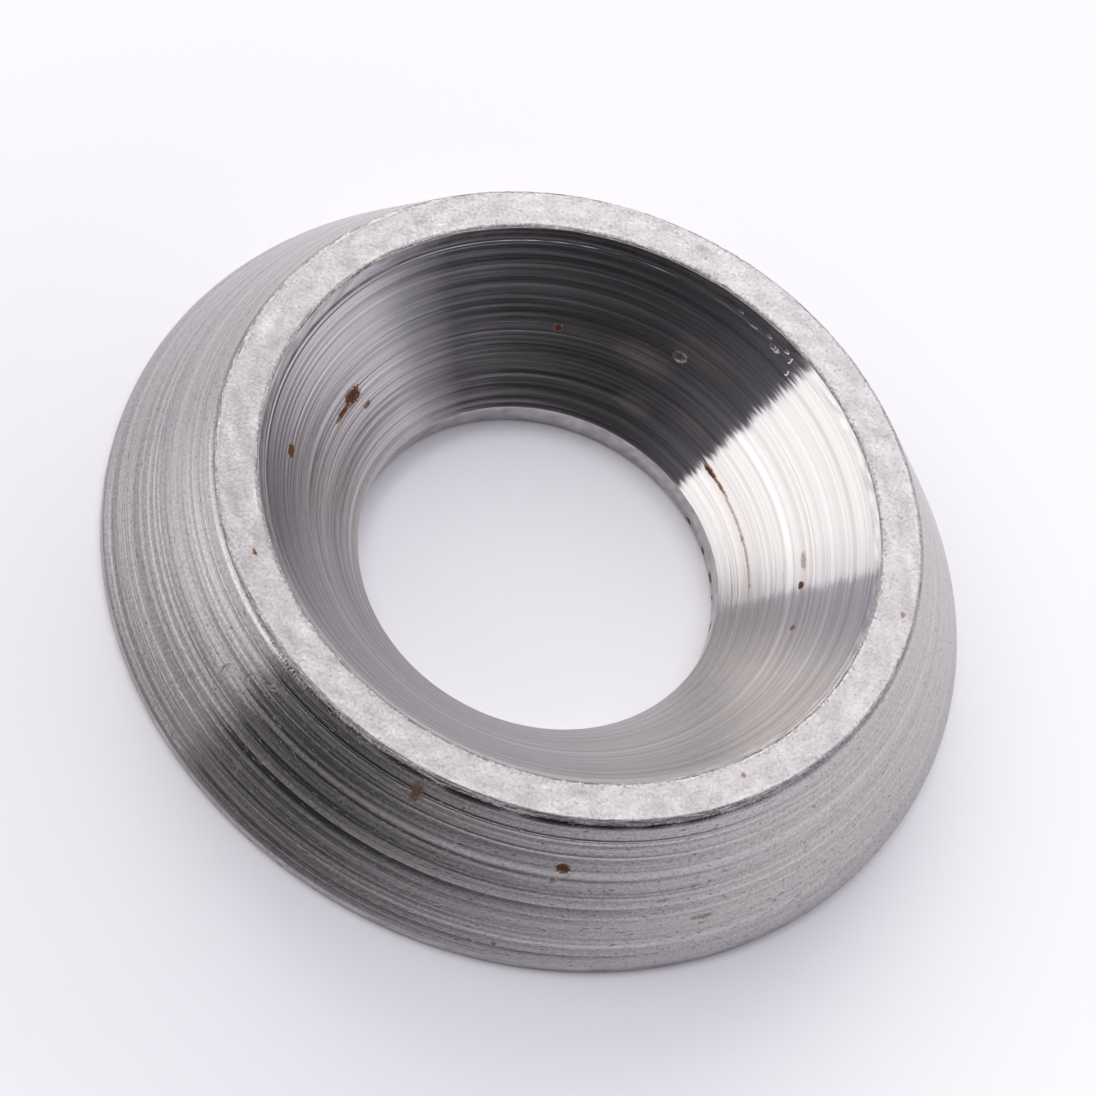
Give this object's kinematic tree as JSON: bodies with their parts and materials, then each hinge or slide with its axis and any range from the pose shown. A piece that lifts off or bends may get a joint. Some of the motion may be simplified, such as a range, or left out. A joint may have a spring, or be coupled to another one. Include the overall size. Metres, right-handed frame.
{
  "type": "cup washer",
  "caption": "Solid turned cup washer: a ring with a conical flank, flat rim, 90 degree countersink and short plain bore, seating a countersunk screw head on a surface.",
  "frame": {"origin": "centre of the bore on the flat base", "axes": "+Z along the bore's axis, from the base towards the rim and the countersink's mouth"},
  "size_m": [0.02, 0.02, 0.0036],
  "materials": {
    "turned_steel": "turned stainless steel with concentric tool marks on the flank and seat, and a fine matt grain on the rim"
  },
  "bodies": {
    "root": {"cup_washer": "turned_steel"}
  },
  "joints": []
}
